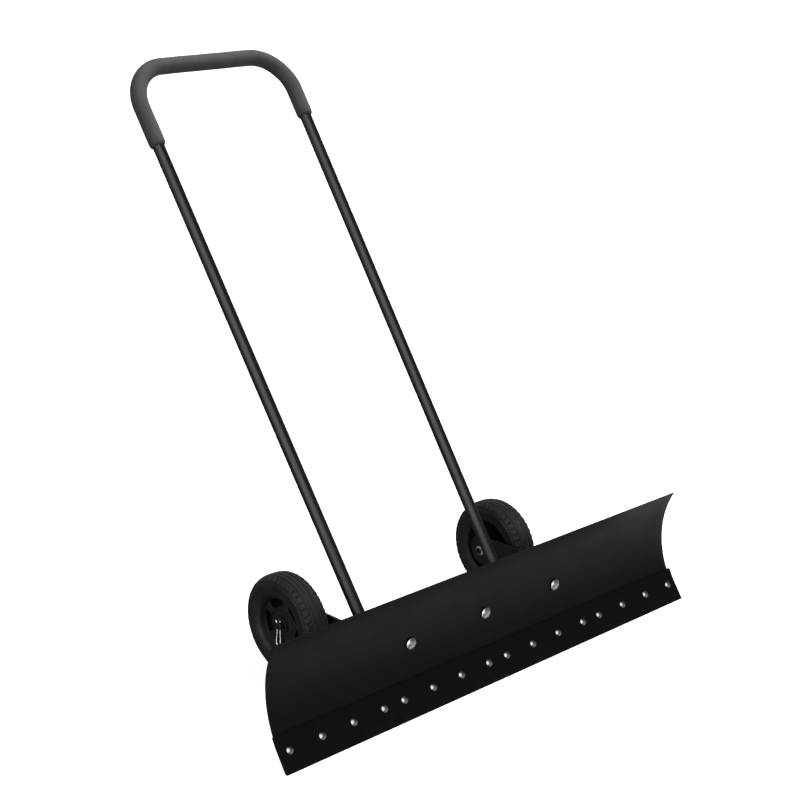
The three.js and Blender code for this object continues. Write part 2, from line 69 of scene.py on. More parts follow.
# Handle
TUBE_RADIUS = 0.0127
TUBE_WALL = 0.0015
LEG_LEAN = 0.70
LEG_SPREAD = 0.0156
LEG_START_X = 0.1858
LEG_START_BACK = 0.135
LEG_BOTTOM = 0.060
BAR_HEIGHT = 1.111
BEND_RADIUS = 0.088
GRIP_RADIUS = 0.0182
GRIP_LEGS = (0.090, 0.064)
GRIP_END_ROUND = 0.012
GRIP_MARGIN = 0.0006
PUCKER_DEPTH = 0.00035
PUCKER_PITCH = 0.0085
SWELL_DEPTH = 0.00018
TUBE_MOUTH = 0.03
SOCKET_RADIUS = 0.016
SOCKET_BOTTOM = 0.056
SOCKET_TOP = 0.114
SOCKET_BOLT_HEIGHT = 0.069

# Frame
TUBE_CORNER = 0.004
BEAM_WALL = 0.002
ARM_CORNER = 0.008
WELD_RADIUS = 0.0026
WELD_PITCH = 0.0026
SOCKET_WELD_SPREAD = 0.0098

# Wheels, measured from the axle and from the middle of the tyre
TYRE_BORE = 0.060
TYRE_HALF = 0.030
HUB_RIM = 0.0597
RIM_HALF = 0.021
SPOKE_FRONT = 0.0125
SPOKE_BACK = -0.014
FLOOR_HALF = 0.002
BOSS_RADIUS = 0.020
POCKET_INNER = 0.036
POCKET_OUTER = 0.054
SPOKES = 5
SPOKE_HALF_ANGLE = radians(11)
HUB_TURN = radians(10)
BORE_RADIUS = 0.0113
AXLE_RADIUS = 0.008
WIRE_RADIUS = 0.00175
BUSH_PLAY = 0.00025
FLANGE_THICKNESS = 0.0018
FLANGE_RADIUS = 0.014
COLLAR_RADIUS = 0.013
AXLE_WASHER_RADIUS = 0.015

# Bolts: thread radius, width across flats, nut height, thread pitch, head radius and height
M8 = {"shank": 0.004, "flats": 0.013, "nut": 0.0065, "pitch": 0.00125}
M10 = {"shank": 0.005, "flats": 0.017, "nut": 0.008, "pitch": 0.0015}
M12 = {"shank": 0.006, "flats": 0.019, "nut": 0.008, "pitch": 0.00175}
M8.update(head=0.0075, rise=0.0045)
M10.update(head=0.012, rise=0.006)
WASHER_PLAY = 0.0003
WASHER_THICKNESS = 0.0016
THREAD_PAST_NUT = 0.003
STRIP_THREAD_END = 0.0198

SIDES = {"left": -1, "right": 1}

# Places that come from the frame
EDGE_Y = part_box("wear_strip_1")[0].y
BLADE_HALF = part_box("moldboard")[1].x
AXLES = {joint["child"].split("_")[0]: Vector(joint["pos_m"]) for joint in frame["joints"]}
WHEEL_RADIUS = AXLES["left"].z
WHEEL_MIDDLE = abs(AXLES["left"].x)

# ---- Outlines and curves ----


def rounded(outline, steps=4):
    """Closed flat outline with rounded corners. Each corner is (u, v, radius)."""
    result = []
    count = len(outline)
    for i, (u, v, radius) in enumerate(outline):
        here = Vector((u, v))
        if radius <= 0:
            result.append(here)
            continue
        before = Vector(outline[i - 1][:2]) - here
        after = Vector(outline[(i + 1) % count][:2]) - here
        half = before.angle(after) / 2
        reach = min(radius / tan(half), 0.49 * before.length, 0.49 * after.length)
        middle = (before.normalized() + after.normalized()).normalized()
        centre = here + middle * (reach / cos(half))
        start = here + before.normalized() * reach - centre
        end = here + after.normalized() * reach - centre
        turn = atan2(start.x * end.y - start.y * end.x, start.dot(end))
        for k in range(steps + 1):
            angle = turn * k / steps
            result.append(centre + Matrix.Rotation(angle, 2) @ start)
    return result


def square(size, corner):
    """Square outline of that half width with rounded corners."""
    signs = ((-1, -1), (1, -1), (1, 1), (-1, 1))
    return rounded([(u * size, v * size, corner) for u, v in signs])


def smooth_curve(points, steps):
    """Catmull-Rom curve through points, with that many steps between two of them."""
    points = [Vector(point) for point in points]
    ends = [2 * points[0] - points[1], *points, 2 * points[-1] - points[-2]]
    result = []
    for i in range(1, len(ends) - 2):
        a, b, c, d = ends[i - 1:i + 3]
        for k in range(steps):
            t = k / steps
            result.append(
                0.5 * (2 * b + (c - a) * t + (2 * a - 5 * b + 4 * c - d) * t ** 2
                       + (3 * b - a - 3 * c + d) * t ** 3)
            )
    result.append(points[-1])
    return result


def frames_along(path, joined=False):
    """For each point of a path, the point and two directions square to the path."""
    count = len(path)
    directions = []
    for i in range(count):
        before = path[i - 1] if i > 0 or joined else path[i]
        after = path[(i + 1) % count] if i < count - 1 or joined else path[i]
        directions.append((after - before).normalized())
    side = directions[0].orthogonal().normalized()
    result = []
    for i, direction in enumerate(directions):
        if i > 0:
            side = directions[i - 1].rotation_difference(direction) @ side
        side = (side - direction * side.dot(direction)).normalized()
        result.append((path[i], side, direction.cross(side)))
    return result


def lengths_along(path):
    """Distance along a path to each of its points."""
    lengths = [0.0]
    for a, b in zip(path, path[1:]):
        lengths.append(lengths[-1] + (b - a).length)
    return lengths


def circle(place, radius, sides):
    point, side, other = place
    angles = [2 * pi * k / sides for k in range(sides)]
    return [point + (side * cos(a) + other * sin(a)) * radius for a in angles]


# ---- Shapes: (points, faces) ----


def loft(rings, joined=False, flat_caps=True):
    """Skin over a row of rings with equally many points. It is capped, or joined end to end.

    Flat caps are single faces. The others are strips between the ring's first and last halves.
    """
    size = len(rings[0])
    points = [Vector(point) for ring in rings for point in ring]
    faces = []
    for i in range(len(rings) if joined else len(rings) - 1):
        a = i * size
        b = (i + 1) % len(rings) * size
        for k in range(size):
            n = (k + 1) % size
            faces.append((a + k, a + n, b + n, b + k))
    if not joined and flat_caps:
        faces.append(tuple(reversed(range(size))))
        faces.append(tuple(range(len(points) - size, len(points))))
    elif not joined:
        for start in (0, len(points) - size):
            for k in range(size // 2 - 1):
                faces.append((start + k, start + k + 1, start + size - 2 - k, start + size - 1 - k))
    return points, faces


def merge(*shapes):
    points = []
    faces = []
    for shape_points, shape_faces in shapes:
        start = len(points)
        points.extend(shape_points)
        faces.extend(tuple(start + i for i in face) for face in shape_faces)
    return points, faces


def round_point(radius, angle, height):
    return radius * cos(angle), radius * sin(angle), height


def ring_corners(inner, outer, low, high, inner_edge=0, outer_edge=0):
    """Corners of a ring's section, each with the radius that rounds it."""
    return [
        (inner, low, inner_edge),
        (outer, low, outer_edge),
        (outer, high, outer_edge),
        (inner, high, inner_edge),
    ]


def turned(profile, segments, place=round_point):
    """Round piece from a closed profile of (radius, height), about its own Z axis by default."""
    angles = [2 * pi * k / segments for k in range(segments)]
    return loft([[place(r, a, z) for r, z in profile] for a in angles], joined=True)


def bar(path, radius, sides, joined=False):
    """Round bar along a path; radius is a number, or a function of the point's index."""
    size = radius if callable(radius) else lambda i: radius
    places = frames_along(path, joined)
    return loft([circle(place, size(i), sides) for i, place in enumerate(places)], joined)


def plate(outline, low, high):
    """Flat plate from one x to another, with an outline of (y, z)."""
    shape = bmesh.new()
    corners = [shape.verts.new((u, v, low)) for u, v in outline]
    for k, corner in enumerate(corners):
        shape.edges.new((corner, corners[(k + 1) % len(corners)]))
    bmesh.ops.triangle_fill(shape, use_beauty=True, edges=shape.edges[:], normal=(0, 0, 1))
    flat = shape.faces[:]
    clear_of_painted_shade = bmesh.ops.extrude_face_region(shape, geom=flat, use_keep_orig=True)["geom"]
    for item in clear_of_painted_shade:
        if isinstance(item, bmesh.types.BMVert):
            item.co.z = high
    shape.verts.index_update()
    points = [vert.co.zxy for vert in shape.verts]
    faces = [tuple(vert.index for vert in face.verts) for face in shape.faces]
    shape.free()
    return points, faces


def solid(shape, crease=35):
    """Mesh with merged points, outward faces and smooth shading up to a crease angle."""
    points, faces = shape
    work = bmesh.new()
    corners = [work.verts.new(point) for point in points]
    for face in faces:
        work.faces.new([corners[i] for i in face])
    bmesh.ops.remove_doubles(work, verts=work.verts, dist=1e-6)
    bmesh.ops.recalc_face_normals(work, faces=work.faces)
    mesh = bpy.data.meshes.new("solid")
    work.to_mesh(mesh)
    work.free()
    mesh.shade_smooth()
    mesh.set_sharp_from_angle(angle=radians(crease))
    return mesh


def add_object(name, data):
    thing = bpy.data.objects.new(name, data)
    bpy.context.scene.collection.objects.link(thing)
    return thing


def put(name, mesh, finish, nodes=(), matrix=None, body="pusher"):
    """Adds a piece that rides on a body, with its finish and the CAD nodes it stands for."""
    piece = add_object(name, mesh)
    if not mesh.materials:
        mesh.materials.append(finish.material)
    if matrix is not None:
        piece.matrix_world = matrix
    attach(piece, body)
    if nodes:
        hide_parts(*nodes)
    return piece


def soften(piece, width):
    """Rounds a piece's sharp edges."""
    bevel = piece.modifiers.new("edges", "BEVEL")
    bevel.width = width
    bevel.segments = 3
    bevel.limit_method = "ANGLE"
    bevel.angle_limit = radians(40)
    bevel.use_clamp_overlap = False
    bevel.harden_normals = True


def axis_matrix(origin, axis):
    """Turns a piece's own Z axis towards a direction and puts its origin at a point."""
    turn = Vector(axis).to_track_quat("Z", "Y").to_matrix().to_4x4()
    return Matrix.Translation(origin) @ turn


# ---- Finishes ----


def math_node(tree, operation, first, second):
    """Math operation on two values, each a node's output or a number."""
    node = tree.nodes.new("ShaderNodeMath")
    node.operation = operation
    for socket, value in zip(node.inputs, (first, second)):
        if isinstance(value, float):
            socket.default_value = value
        else:
            tree.links.new(value, socket)
    return node.outputs["Value"]


def smooth_range(tree, value, low, high, to_low, to_high):
    """Takes the range from low to high smoothly to another range."""
    node = tree.nodes.new("ShaderNodeMapRange")
    node.interpolation_type = "SMOOTHSTEP"
    levels = (low, high, to_low, to_high)
    for name, level in zip(("From Min", "From Max", "To Min", "To Max"), levels):
        node.inputs[name].default_value = level
    tree.links.new(value, node.inputs["Value"])
    return node.outputs["Result"]


class Finish:
    """Procedural material with one Principled shader, for one of the record's slots."""

    def __init__(self, name, slot, metallic=0.0, specular=0.5):
        self.slot = slot
        self.material = bpy.data.materials.new(name)
        self.material.use_nodes = True
        self.tree = self.material.node_tree
        self.shader = self.tree.nodes["Principled BSDF"]
        self.shader.inputs["Metallic"].default_value = metallic
        self.shader.inputs["Specular IOR Level"].default_value = specular
        self.place = self.node("TexCoord").outputs["Object"]
        self.normal = None

    def node(self, kind, **values):
        """New shader node of a kind, with values for its inputs."""
        node = self.tree.nodes.new("ShaderNode" + kind)
        for name, value in values.items():
            node.inputs[name].default_value = value
        return node

    def link(self, source, target):
        self.tree.links.new(source, target)

    def noise(self, scale, detail, stretch=(1, 1, 1)):
        spread = self.node("Mapping", Scale=stretch)
        self.link(self.place, spread.inputs["Vector"])
        node = self.node("TexNoise", Scale=scale, Detail=detail)
        self.link(spread.outputs["Vector"], node.inputs["Vector"])
        return node.outputs["Fac"]

    def cells(self, scale):
        node = self.node("TexVoronoi", Scale=scale)
        self.link(self.place, node.inputs["Vector"])
        return node.outputs["Distance"]

    def part(self, axis):
        """One part of a point's place: X, Y or Z."""
        node = self.node("SeparateXYZ")
        self.link(self.place, node.inputs["Vector"])
        return node.outputs[axis]

    def across_wheel(self):
        """How far a point is outwards from the middle of its wheel."""
        away = math_node(self.tree, "ABSOLUTE", self.part("X"), 0.0)
        return math_node(self.tree, "SUBTRACT", away, WHEEL_MIDDLE)

    def ranged(self, value, low, high, to_low=0.0, to_high=1.0):
        return smooth_range(self.tree, value, low, high, to_low, to_high)

    def uneven(self, scale, detail, low, high, stretch=(1, 1, 1)):
        """Value that drifts between two values from place to place."""
        return self.ranged(self.noise(scale, detail, stretch), 0.3, 0.7, low, high)

    def times(self, first, second):
        return math_node(self.tree, "MULTIPLY", first, second)

    def mixed(self, factor, first, second):
        """Colour between two colours, each a node's output or (red, green, blue)."""
        node = self.node("Mix")
        node.data_type = "RGBA"
        colours = [socket for socket in node.inputs if socket.type == "RGBA"]
        for socket, colour in zip(colours, (first, second)):
            if isinstance(colour, tuple):
                socket.default_value = (*colour, 1)
            else:
                self.link(colour, socket)
        self.link(factor, node.inputs["Factor"])
        return next(socket for socket in node.outputs if socket.type == "RGBA")

    def colour(self, source):
        self.link(source, self.shader.inputs["Base Color"])

    def roughness(self, source):
        self.link(source, self.shader.inputs["Roughness"])

    def bump(self, height, depth):
        node = self.node("Bump", Distance=depth)
        self.link(height, node.inputs["Height"])
        if self.normal is not None:
            self.link(self.normal, node.inputs["Normal"])
        self.normal = node.outputs["Normal"]
        self.link(self.normal, self.shader.inputs["Normal"])


def powder_coat():
    """Black powder coat of the tubes: orange peel, cloudy gloss, and duller near the ground."""
    finish = Finish("powder_coat", "paint", specular=0.5)
    base = finish.mixed(finish.noise(9, 4), (0.0032, 0.0033, 0.0036), (0.0048, 0.0049, 0.0053))
    finish.colour(base)
    wear = finish.ranged(finish.part("Z"), 0.10, 0.50, 1.35, 1.0)
    finish.roughness(finish.times(finish.uneven(26, 4, 0.30, 0.37), wear))
    finish.bump(finish.noise(520, 2), 0.00003)
    return finish


def blade_coat():
    """Satin powder coat of the blade, a little duller in places."""
    finish = Finish("blade_coat", "paint", specular=0.20)
    base = finish.mixed(finish.noise(7, 4), (0.0032, 0.0033, 0.0035), (0.0046, 0.0047, 0.0050))
    finish.colour(base)
    finish.roughness(finish.uneven(12, 4, 0.36, 0.44, (1, 2, 2)))
    finish.bump(finish.noise(430, 2), 0.00004)
    finish.bump(finish.noise(4, 2), 0.0004)
    return finish


def strip_rubber():
    """Matte black rubber, faintly scuffed towards the cutting edge."""
    finish = Finish("strip_rubber", "strip_rubber", specular=0.08)
    base = finish.mixed(finish.noise(40, 3), (0.0020, 0.0020, 0.0021), (0.0032, 0.0032, 0.0034))
    scuffs = finish.ranged(finish.noise(1, 5, (90, 40, 40)), 0.45, 0.75)
    edge = finish.ranged(finish.part("Z"), 0.001, 0.014, 1.0, 0.0)
    finish.colour(finish.mixed(finish.times(scuffs, edge), base, (0.006, 0.006, 0.006)))
    finish.roughness(finish.uneven(90, 3, 0.55, 0.68))
    finish.bump(finish.noise(900, 3), 0.00008)
    return finish


def tyre_rubber():
    """Solid tyre rubber with a fine moulded grain and slightly uneven shade."""
    finish = Finish("tyre_rubber", "tyre", specular=0.26)
    patches = finish.ranged(finish.noise(24, 4), 0.40, 0.75)
    base = finish.mixed(finish.noise(70, 3), (0.0100, 0.0100, 0.0102), (0.0135, 0.0135, 0.0137))
    finish.colour(finish.mixed(patches, base, (0.018, 0.018, 0.0182)))
    finish.roughness(finish.uneven(50, 3, 0.50, 0.64))
    finish.bump(finish.noise(1300, 3), 0.00008)
    return finish


def moulded_plastic():
    """Black polypropylene, textured on the outer face. Everything inward of the outer face carries
    painted shade for the pockets and the back of the hub, and is also duller.
    """
    finish = Finish("moulded_plastic", "hub_plastic", specular=0.10)
    face = finish.mixed(finish.noise(30, 3), (0.026, 0.026, 0.0265), (0.036, 0.036, 0.0365))
    # Painted shade: the colour goes near black everywhere inward of the outer face, standing for
    # the shade in the pockets and behind the hub.
    clear_of_painted_shade = finish.ranged(finish.across_wheel(), 0.0085, 0.0118)
    finish.colour(finish.mixed(clear_of_painted_shade, (0.0010, 0.0010, 0.0010), face))
    grain = finish.uneven(60, 3, 0.44, 0.56)
    finish.roughness(finish.times(grain, finish.ranged(clear_of_painted_shade, 0, 1, 1.7, 1.0)))
    finish.bump(finish.cells(1500), 0.00008)
    return finish


def nylon():
    """Dark grey nylon, slightly waxy."""
    finish = Finish("nylon", "nylon", specular=0.45)
    finish.colour(finish.mixed(finish.noise(90, 2), (0.040, 0.040, 0.042), (0.058, 0.058, 0.060)))
    finish.roughness(finish.uneven(200, 2, 0.38, 0.5))
    finish.bump(finish.noise(1600, 2), 0.00006)
    return finish


def foam():
    """Closed-cell foam: matte with a soft skin and tiny pores."""
    finish = Finish("foam", "foam", specular=0.25)
    pores = finish.ranged(finish.cells(620), 0.10, 0.40)
    base = finish.mixed(finish.noise(45, 4), (0.066, 0.066, 0.067), (0.086, 0.086, 0.087))
    finish.colour(finish.mixed(pores, (0.036, 0.036, 0.036), base))
    finish.roughness(finish.uneven(110, 3, 0.60, 0.72))
    finish.bump(pores, 0.00012)
    finish.bump(finish.noise(300, 3), 0.00014)
    return finish


def zinc(name, level):
    """Zinc plate: crystalline cloudiness and fine handling marks. A level below 1 makes a darker
    copy of the same zinc, which paints shade.
    """
    finish = Finish(name, "zinc", metallic=1.0)
    cloud = finish.ranged(finish.noise(260, 4), 0.35, 0.7)
    low = (0.58 * level, 0.59 * level, 0.60 * level)
    high = (0.83 * level, 0.83 * level, 0.82 * level)
    finish.colour(finish.mixed(cloud, low, high))
    finish.roughness(finish.uneven(500, 3, 0.20, 0.36))
    finish.bump(finish.noise(1500, 3), 0.00005)
    return finish


def dark_steel():
    """Black oxide on steel, with a thin film of oil."""
    finish = Finish("dark_steel", "black_oxide", metallic=0.7)
    finish.colour(finish.mixed(finish.noise(180, 3), (0.024, 0.024, 0.026), (0.042, 0.042, 0.043)))
    finish.roughness(finish.uneven(400, 3, 0.30, 0.44))
    finish.bump(finish.noise(1500, 2), 0.00004)
    return finish


PAINT = powder_coat()
BLADE_PAINT = blade_coat()
STRIP = strip_rubber()
TYRE = tyre_rubber()
PLASTIC = moulded_plastic()
NYLON = nylon()
FOAM = foam()
ZINC = zinc("zinc", 1.0)
# Darker copy of the same zinc for the strip bolts: painted shade.
SHADED_ZINC = zinc("shaded_zinc", 0.55)
DARK_STEEL = dark_steel()

# ---- Fasteners, each about its own Z axis with its seat at 0 ----

ROUND_SEGMENTS = 48


def dome(radius, height):
    """Round domed head with a thin turned rim."""
    rim = 0.16 * height
    cap = height - rim
    curve = (radius ** 2 + cap ** 2) / (2 * cap)
    spread = asin(min(radius / curve, 1))
    profile = [(0, 0), (0.96 * radius, 0), (radius, 0.3 * rim), (radius, rim)]
    for k in range(1, 13):
        angle = spread * (1 - k / 12)
        profile.append((curve * sin(angle), height - curve * (1 - cos(angle))))
    return turned(profile, ROUND_SEGMENTS)


def thread(radius, low, high, pitch):
    """Threaded end from low to high, with a chamfer at its tip."""
    root = radius - 0.6 * pitch
    profile = [(0, low)]
    tooth = ((root, 0), (root, 0.2), (radius, 0.5), (radius, 0.62), (root, 0.92))
    turns = int((high - low - pitch) / pitch)
    for k in range(turns):
        start = low + k * pitch
        profile.extend((r, start + part * pitch) for r, part in tooth)
    top = low + turns * pitch
    profile.extend([(root, top), (radius - 0.1 * pitch, top + 0.3 * pitch)])
    profile.extend([(root, high), (0, high)])
    return turned(profile, 32)


def hexagon_radius(flats, angle):
    """Distance from the middle of a hexagon to its edge at an angle."""
    return flats / 2 / cos((angle + pi / 6) % (pi / 3) - pi / 6)


def hex_body(flats, low, high, bore, chamfers=(True, True)):
    """Hexagonal nut or head with the usual 30-degree chamfers where asked, low and high."""
    sides = 72
    rise = (flats / sqrt(3) - flats / 2) / sqrt(3) + 0.0002
    steps = [rise * k / 4 for k in range(5)]
    levels = [(low + t, t if chamfers[0] else rise) for t in steps]
    levels.extend((high - t, t if chamfers[1] else rise) for t in reversed(steps))
    angles = [2 * pi * k / sides for k in range(sides)]
    rings = []
    for z, depth in levels:
        limit = 0.475 * flats + depth * sqrt(3)
        rings.append([round_point(min(hexagon_radius(flats, a), limit), a, z) for a in angles])
    if bore <= 0:
        return loft(rings)
    mouth, lead = bore * 1.12, 0.0006
    for z, r in ((high, mouth), (high - lead, bore), (low + lead, bore), (low, mouth)):
        rings.append([round_point(r, a, z) for a in angles])
    return loft(rings, joined=True)


def washer(inner, outer, low, high):
    edge = 0.25 * (high - low)
    corners = ring_corners(inner, outer, low, high, edge, edge)
    return turned(rounded(corners, 2), ROUND_SEGMENTS)


def locking_nut(size, low):
    """Nut with the raised collar that holds its nylon ring."""
    shank, flats, height = size["shank"], size["flats"], size["nut"]
    body = hex_body(flats, low, low + 0.72 * height, shank, (True, False))
    outer = 0.43 * flats
    top = low + height
    collar = [
        (shank, low + 0.7 * height, 0),
        (outer, low + 0.7 * height, 0),
        (outer, top, 0.0009),
        (shank + 0.0011, top, 0.0004),
        (shank + 0.0009, top - 0.0007, 0),
        (shank, top - 0.0009, 0),
    ]
    return merge(body, turned(rounded(collar, 4), ROUND_SEGMENTS))


# ---- Blade and wear strips ----


def face_point(along, front):
    """(y, z) of the section: along up the blade's face from the ground and front before it."""
    straight = min(along, FOOT_LENGTH)
    lean = FOOT_LEAN - max(along - FOOT_LENGTH, 0) / BLADE_HOLLOW
    face = EDGE_Y + (STRIP_THICKNESS + GAP) / cos(FOOT_LEAN)
    y = face + straight * sin(FOOT_LEAN) + BLADE_HOLLOW * (cos(lean) - cos(FOOT_LEAN))
    z = straight * cos(FOOT_LEAN) + BLADE_HOLLOW * (sin(FOOT_LEAN) - sin(lean))
    return y - front * cos(lean), z + front * sin(lean)


FRONT = Vector((0, -cos(FOOT_LEAN), sin(FOOT_LEAN)))
BLADE_END = FOOT_LENGTH + BLADE_HOLLOW * BLADE_SWEEP


def band(x, size, steps, inset=0.0, relief=None):
    """Ring round a sheet that follows the face, at one station along X.

    size is (start, end, back, front, edge). A start of 0 makes the lower edge level with the
    ground, and edge rounds the sheet's edges. relief(x, along) raises the front.
    """
    start, end, back, front, edge = size

    def ring_line(offset, sign):
        low = start + inset if start > 0 else inset - offset * tan(FOOT_LEAN)
        high = end - inset
        inner = [low + edge + (high - low - 2 * edge) * k / steps for k in range(steps + 1)]
        corner = [(1 - cos(pi / 2 * k / 4)) * edge for k in range(4)]
        stations = [low + c for c in corner] + inner + [high - c for c in reversed(corner)]
        line = []
        for along in stations:
            near = min(along - low, high - along, edge)
            round_off = edge - sqrt(max(edge ** 2 - (edge - near) ** 2, 0.0))
            clear_of_painted_shade = relief(x, along) if relief and sign > 0 else 0.0
            y, z = face_point(along, offset - sign * (inset + round_off) + clear_of_painted_shade)
            line.append((x, y, max(z, 0.0) if start == 0 else z))
        return line

    return ring_line(back, -1) + ring_line(front, 1)[::-1]


def sheet(from_x, to_x, size, steps, stations, relief=None):
    """Curved sheet with rounded edges all round."""
    edge = size[4]
    angles = [pi / 2 * k / 4 for k in range(5)]
    ends = [(edge * (1 - cos(angle)), edge * (1 - sin(angle))) for angle in angles]
    rings = [band(from_x + depth, size, steps, inset, relief) for depth, inset in ends]
    rings += [band(x, size, steps, 0.0, relief) for x in stations]
    rings += [band(to_x - depth, size, steps, inset, relief) for depth, inset in reversed(ends)]
    return loft(rings, flat_caps=False)


def strip_bolt_places():
    """Seats of the strip bolts' heads, left to right."""
    places = []
    for i in range(STRIP_COUNT * BOLTS_PER_STRIP):
        low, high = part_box(f"strip_bolt_{i + 1:02d}")
        y, z = face_point(STRIP_BOLT_ALONG, 2 * GAP + STRIP_THICKNESS)
        places.append(Vector(((low.x + high.x) / 2, y, z)))
    return places


def build_blade():
    stations = [BLADE_HALF * (k / 20 - 1) for k in range(1, 40)]
    size = (BLADE_START, BLADE_END, -BLADE_THICKNESS, 0, 0.0004)
    shape = sheet(-BLADE_HALF, BLADE_HALF, size, 60, stations)
    put("blade_sheet", solid(shape, 50), BLADE_PAINT, ["moldboard"])


def build_strips():
    """Rubber strips, raised a little in a ring round each bolt head and pressed in under it."""
    bolts = strip_bolt_places()
    for i in range(STRIP_COUNT):
        node = f"wear_strip_{i + 1}"
        low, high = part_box(node)
        own = [bolt.x for bolt in bolts[i * BOLTS_PER_STRIP:(i + 1) * BOLTS_PER_STRIP]]

        def relief(x, along):
            total = 0.0
            for bolt_x in own:
                away = hypot(x - bolt_x, along - STRIP_BOLT_ALONG)
                total += 0.0006 * exp(-(((away - 0.0098) / 0.0024) ** 2))
                if away < 0.0075:
                    total -= 0.0003
            return total

        stations = [low.x + 0.0015 + (high.x - low.x - 0.003) * k / 120 for k in range(121)]
        size = (0, STRIP_TOP, GAP, GAP + STRIP_THICKNESS, 0.0008)
        shape = sheet(low.x, high.x, size, 44, stations, relief)
        put(f"rubber_strip_{i + 1}", solid(shape, 50), STRIP, [node])


def build_strip_bolts():
    head = solid(dome(M8["head"], M8["rise"]))
    behind = STRIP_THICKNESS + BLADE_THICKNESS + 3 * GAP
    nut_seat = behind + WASHER_THICKNESS
    tail = solid(merge(
        washer(M8["shank"] + WASHER_PLAY, 0.0085, behind, nut_seat),
        locking_nut(M8, nut_seat),
        thread(M8["shank"], behind - 0.001, STRIP_THREAD_END, M8["pitch"]),
    ))
    for i, seat in enumerate(strip_bolt_places()):
        number = f"{i + 1:02d}"
        node = f"strip_bolt_{number}"
        turn = Matrix.Rotation(radians(37 * i % 60), 4, "Z")
        backwards = axis_matrix(seat, -FRONT) @ turn
        # The strip bolts' heads and nuts take the darker zinc copy, which paints shade on them.
        put(f"strip_bolt_head_{number}", head, SHADED_ZINC, [node], axis_matrix(seat, FRONT))
        put(f"strip_nut_{number}", tail, SHADED_ZINC, [], backwards)


# ---- Rear frame ----


def square_tube(node):
    """Square tube with open ends and rolled corners, in the place of a CAD node."""
    low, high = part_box(node)
    middle = (low + high) / 2
    half = (high.z - low.z) / 2
    rings = []
    for x, inset in ((low.x, 0), (high.x, 0), (high.x, BEAM_WALL), (low.x, BEAM_WALL)):
        outline = square(half - inset, TUBE_CORNER - inset)
        rings.append([(x, middle.y + p.x, middle.z + p.y) for p in outline])
    return loft(rings, joined=True), middle, half


def bead(path, joined=False):
    """Weld bead along a path: a low bar with the ripples of a torch."""
    lengths = lengths_along(path)
    steps = max(int(lengths[-1] / (WELD_PITCH / 6)), 8)
    points = []
    k = 0
    for i in range(steps + 1):
        wanted = lengths[-1] * i / steps
        while k < len(path) - 2 and lengths[k + 1] < wanted:
            k += 1
        t = (wanted - lengths[k]) / max(lengths[k + 1] - lengths[k], 1e-9)
        points.append(path[k].lerp(path[k + 1], t))

    def radius(i):
        ripple = 1 + 0.09 * sin(2 * pi * i / 6) + 0.05 * sin(i * 0.37) + 0.03 * sin(i * 0.91)
        return WELD_RADIUS * ripple

    return bar(points[:-1] if joined else points, radius, 12, joined)


def build_frame():
    beam, beam_middle, half = square_tube("mounting_beam")
    crossbar, cross_middle, _ = square_tube("crossbar")
    put("beam_tube", solid(beam, 50), PAINT, ["mounting_beam"])
    put("crossbar_tube", solid(crossbar, 50), PAINT, ["crossbar"])

    for name, sign in SIDES.items():
        low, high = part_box(f"{name}_arm")
        axle = AXLES[name]
        nose = axle.z - low.z
        corners = [(low.y, low.z, ARM_CORNER)]
        for k in range(25):
            angle = -pi / 2 + pi * k / 24
            corners.append((axle.y + nose * cos(angle), axle.z + nose * sin(angle), 0))
        corners.append((low.y, high.z, ARM_CORNER))
        outline = rounded(corners, 6)
        arm = plate(outline, low.x, high.x)
        piece = put(f"{name}_arm_plate", solid(arm), PAINT, [f"{name}_arm"])
        soften(piece, 0.0008)

        face_x = sign * (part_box("mounting_beam")[1].x + GAP)
        loop = square(half + 0.0004, TUBE_CORNER)
        corner = len(loop) // 4
        beam_path, cross_path = (
            [Vector((face_x, middle.y + p.x, middle.z + p.y)) for p in loop]
            for middle in (beam_middle, cross_middle)
        )
        beam_bead = bead(beam_path[corner - 3:3 * corner + 3])
        cross_bead = bead([*cross_path, cross_path[0]], joined=True)
        put(f"{name}_arm_welds", solid(merge(beam_bead, cross_bead)), PAINT)


def build_beam_bolts():
    head = solid(dome(M10["head"], M10["rise"]))
    for name in ("left", "centre", "right"):
        bolt, nut = f"beam_bolt_{name}", f"beam_nut_{name}"
        low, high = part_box(bolt)
        nut_low, nut_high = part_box(nut)
        middle = (low + high) / 2
        seat = Vector((middle.x, low.y + M10["rise"], middle.z))
        put(f"{bolt}_head", head, ZINC, [bolt], axis_matrix(seat, (0, -1, 0)))
        back = Vector((middle.x, nut_low.y, middle.z))
        height = nut_high.y - nut_low.y - WASHER_THICKNESS
        tail = merge(
            washer(M10["shank"] + WASHER_PLAY, 0.0105, -GAP, WASHER_THICKNESS),
            locking_nut({**M10, "nut": height}, WASHER_THICKNESS),
            thread(M10["shank"], 0, high.y - nut_low.y, M10["pitch"]),
        )
        put(f"{nut}_set", solid(tail), ZINC, [nut], axis_matrix(back, (0, 1, 0)))


# ---- Handle ----


def leg_point(sign, height):
    y = EDGE_Y + LEG_START_BACK + LEG_LEAN * height
    return Vector((sign * (LEG_START_X + LEG_SPREAD * height), y, height))


def leg_direction(sign):
    return Vector((sign * LEG_SPREAD, LEG_LEAN, 1)).normalized()


BEND_STEPS = 40
UP = leg_direction(-1)
ACROSS = Vector((1, 0, 0))
BEND_TURN = UP.angle(ACROSS)
BEND_START = leg_point(-1, BAR_HEIGHT) - UP * BEND_RADIUS * tan(BEND_TURN / 2)
INWARD = (ACROSS - UP * ACROSS.dot(UP)).normalized()


